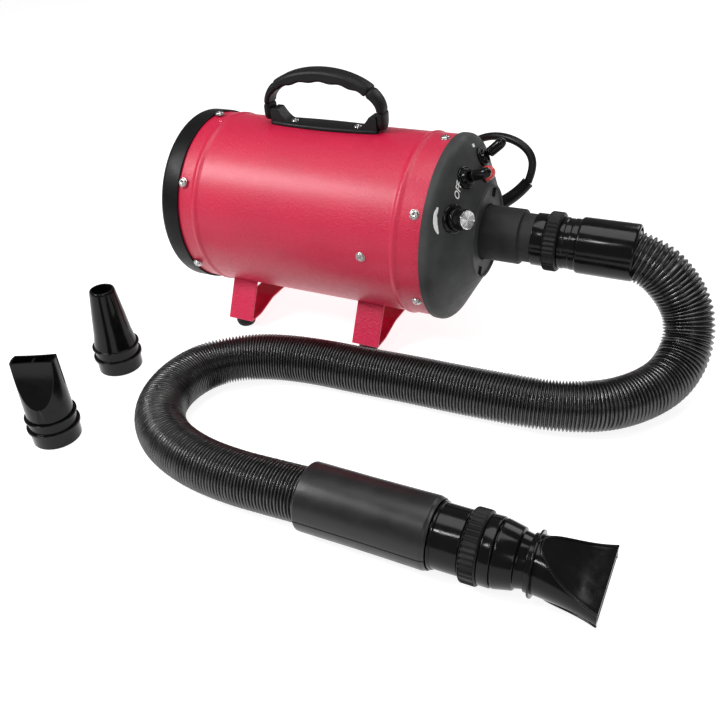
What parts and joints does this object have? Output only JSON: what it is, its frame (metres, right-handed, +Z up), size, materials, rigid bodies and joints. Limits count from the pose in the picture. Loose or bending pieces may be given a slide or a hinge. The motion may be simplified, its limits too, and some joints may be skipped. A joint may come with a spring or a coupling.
{
  "type": "pet dryer",
  "caption": "Drum-shaped pet blower on strap legs, with fold-down carry handle, controls on a cone cap, corrugated hose, hand wand and interchangeable nozzles.",
  "frame": {"origin": "on the floor, at the middle of the footprint of blower, wand and spare nozzles together, cords left out", "axes": "+X along the drum's axis towards the air outlet, +Y to the side away from the wand, +Z up"},
  "size_m": [0.5613, 0.5661, 0.257],
  "materials": {
    "red_paint": "textured gloss enamel",
    "grey_plastic": "fine matt grain",
    "black_plastic": "satin",
    "gloss_black": "polished moulding",
    "soft_black": "satin soft grip",
    "rubber": "matt",
    "cord_pvc": "satin PVC",
    "screw_steel": "bright zinc",
    "silver_disc": "radially brushed",
    "lamp_red": "clear red lens",
    "grille": "matt",
    "filter_foam": "open foam",
    "liner_foam": "acoustic foam",
    "steel": "plain",
    "aluminium": "pressed",
    "copper": "enamelled wire",
    "carbon": "holder",
    "mica": "sheet",
    "board": "circuit board",
    "pin_brass": "bright"
  },
  "bodies": {
    "machine": {"bearings": "steel", "brush_holders": "carbon", "cord_coil": "cord_pvc", "cord_tail": "cord_pvc", "drum": "red_paint", "drum_screws": "screw_steel", "fan_case": "aluminium", "feet": "rubber", "field_coils": "copper", "foam_liner": "liner_foam", "foot_screws": "screw_steel", "front_cap": "grey_plastic", "handle_plate": "black_plastic", "handle_screws": "screw_steel", "heater_bracket": "aluminium", "heater_coil": "copper", "heater_mica": "mica", "hose": "gloss_black", "hose_connector": "gloss_black", "hose_cuff": "gloss_black", "intake_filter": "filter_foam", "intake_grille": "grille", "knob_bezel": "black_plastic", "lamp_lens": "lamp_red", "legs_front": "red_paint", "legs_rear": "red_paint", "motor_frame": "aluminium", "motor_mounts": "rubber", "outlet": "black_plastic", "plug_body": "cord_pvc", "plug_pins": "pin_brass", "potentiometer": "steel", "power_cord": "cord_pvc", "rear_cap": "black_plastic", "relief_boot": "cord_pvc", "speed_board": "board", "stator": "steel", "switch_bodies": "black_plastic", "switch_boots": "rubber", "taper_adapter": "gloss_black", "thermal_cutout": "carbon", "wand_sleeve": "soft_black", "wand_tip": "gloss_black"},
    "grip": {"grip_frame": "black_plastic", "grip_sleeve": "soft_black", "grip_pins": "steel"},
    "speed_knob": {"knob": "gloss_black", "knob_disc": "silver_disc", "pot_shaft": "aluminium"},
    "fan_toggle": {"fan_lever": "soft_black"},
    "heat_toggle": {"heat_lever": "soft_black"},
    "rotor": {"rotor_shaft": "steel", "armature": "steel", "commutator": "copper", "impeller": "aluminium"},
    "hose_lock": {"hose_lock_ring": "gloss_black"},
    "wand_lock": {"wand_lock_ring": "gloss_black"},
    "nozzle": {"fan_nozzle": "gloss_black"},
    "round_nozzle": {"spare_round_nozzle": "gloss_black"},
    "flat_nozzle": {"spare_flat_nozzle": "gloss_black"}
  },
  "joints": [
    {"name": "handle_fold", "type": "hinge", "parent": "machine", "child": "grip", "pos_m": [-0.0825, 0.125, 0.213], "axis": [1, 0, 0], "range_deg": [-88, 88]},
    {"name": "speed_knob_turn", "type": "hinge", "parent": "machine", "child": "speed_knob", "pos_m": [0.06813, 0.06903, 0.15147], "axis": [0.8726, -0.4142, 0.2588], "range_deg": [-150, 150]},
    {"name": "fan_switch_throw", "type": "hinge", "parent": "machine", "child": "fan_toggle", "pos_m": [0.07047, 0.09866, 0.17916], "axis": [0, -0.9219, -0.3875], "range_deg": [0, 30]},
    {"name": "heat_switch_throw", "type": "hinge", "parent": "machine", "child": "heat_toggle", "pos_m": [0.07047, 0.14373, 0.18183], "axis": [0, -0.9613, 0.2756], "range_deg": [-30, 0]},
    {"name": "rotor_spin", "type": "hinge", "parent": "machine", "child": "rotor", "pos_m": [-0.0925, 0.125, 0.1165], "axis": [1, 0, 0], "continuous": true},
    {"name": "hose_lock_turn", "type": "hinge", "parent": "machine", "child": "hose_lock", "pos_m": [0.145, 0.125, 0.1165], "axis": [1, 0, 0], "range_deg": [0, 45]},
    {"name": "wand_lock_turn", "type": "hinge", "parent": "machine", "child": "wand_lock", "pos_m": [0.1783, -0.175, 0.0277], "axis": [1, 0, 0], "range_deg": [0, 45]},
    {"name": "nozzle_pull", "type": "slide", "parent": "machine", "child": "nozzle", "axis": [1, 0, 0], "range_m": [0, 0.05]},
    {"name": "round_nozzle_lift", "type": "slide", "parent": "machine", "child": "round_nozzle", "axis": [0, 0, 1], "range_m": [0, 0.1]},
    {"name": "flat_nozzle_lift", "type": "slide", "parent": "machine", "child": "flat_nozzle", "axis": [0, 0, 1], "range_m": [0, 0.1]}
  ]
}
